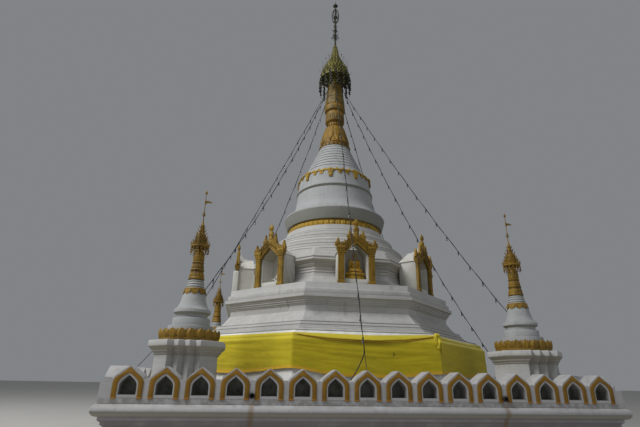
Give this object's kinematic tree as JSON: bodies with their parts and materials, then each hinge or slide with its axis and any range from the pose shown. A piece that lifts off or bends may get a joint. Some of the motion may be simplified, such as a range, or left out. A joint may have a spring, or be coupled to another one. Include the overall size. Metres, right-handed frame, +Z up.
{
  "type": "stupa",
  "caption": "White bell-shaped stupa with a gilt spire on an octagonal base, on a square terrace with a niched parapet, shrines, corner stupas, cloth band and light strings.",
  "frame": {"origin": "on the vertical axis of the great bell, at the foot of the terrace wall", "axes": "+Z up, -Y towards the front with the seated figure, +X to the right of it"},
  "size_m": [11.7356, 11.7356, 18.48],
  "materials": {
    "limewash": "weathered white limewash on plastered brick",
    "ochre_gold": "worn ochre gold paint on plaster",
    "bright_gold": "bright gold paint and gilding",
    "aged_gilt": "darkened gilt sheet metal",
    "yellow_cloth": "plain woven yellow cloth",
    "black_cable": "black cable sheath"
  },
  "bodies": {
    "masonry": {"terrace_base": "limewash", "terrace_coping": "limewash", "parapet_front": "limewash", "parapet_right": "limewash", "parapet_back": "limewash", "parapet_left": "limewash", "octagon_drum": "limewash", "octagon_base": "limewash", "shrine_platform": "limewash", "upper_octagon": "limewash", "round_tiers": "limewash", "bell": "limewash", "ringed_cone": "limewash", "shrine_front": "limewash", "shrine_front_right": "limewash", "shrine_right": "limewash", "shrine_back_right": "limewash", "shrine_back": "limewash", "shrine_back_left": "limewash", "shrine_left": "limewash", "shrine_front_left": "limewash", "corner_stupa_front_left": "limewash", "corner_stupa_front_right": "limewash", "corner_stupa_back_right": "limewash", "corner_stupa_back_left": "limewash", "shrine_frame_front": "ochre_gold", "shrine_frame_front_right": "ochre_gold", "shrine_frame_right": "ochre_gold", "shrine_frame_back_right": "ochre_gold", "shrine_frame_back": "ochre_gold", "shrine_frame_back_left": "ochre_gold", "shrine_frame_left": "ochre_gold", "shrine_frame_front_left": "ochre_gold", "bell_lotus_band": "bright_gold", "bell_garland": "bright_gold", "spire_lotus": "bright_gold", "spire_bud": "bright_gold", "lotus_seat": "bright_gold", "seated_figure": "bright_gold", "corner_spire_front_left": "bright_gold", "corner_spire_front_right": "bright_gold", "corner_spire_back_right": "bright_gold", "corner_spire_back_left": "bright_gold", "crown": "aged_gilt", "pinnacle": "aged_gilt", "cloth_wrap": "yellow_cloth", "light_string_front": "black_cable", "light_string_front_right": "black_cable", "light_string_right": "black_cable", "light_string_back_right": "black_cable", "light_string_back": "black_cable", "light_string_back_left": "black_cable", "light_string_left": "black_cable", "light_string_front_left": "black_cable"},
    "front_left_vane": {"vane_front_left": "bright_gold"},
    "front_right_vane": {"vane_front_right": "bright_gold"},
    "back_right_vane": {"vane_back_right": "bright_gold"},
    "back_left_vane": {"vane_back_left": "bright_gold"}
  },
  "joints": [
    {"name": "vane_turn_front_left", "type": "hinge", "parent": "masonry", "child": "front_left_vane", "pos_m": [-4.35, -4.35, 6.03], "axis": [0, 0, 1], "continuous": true},
    {"name": "vane_turn_front_right", "type": "hinge", "parent": "masonry", "child": "front_right_vane", "pos_m": [4.35, -4.35, 6.03], "axis": [0, 0, 1], "continuous": true},
    {"name": "vane_turn_back_right", "type": "hinge", "parent": "masonry", "child": "back_right_vane", "pos_m": [4.35, 4.35, 6.03], "axis": [0, 0, 1], "continuous": true},
    {"name": "vane_turn_back_left", "type": "hinge", "parent": "masonry", "child": "back_left_vane", "pos_m": [-4.35, 4.35, 6.03], "axis": [0, 0, 1], "continuous": true}
  ]
}
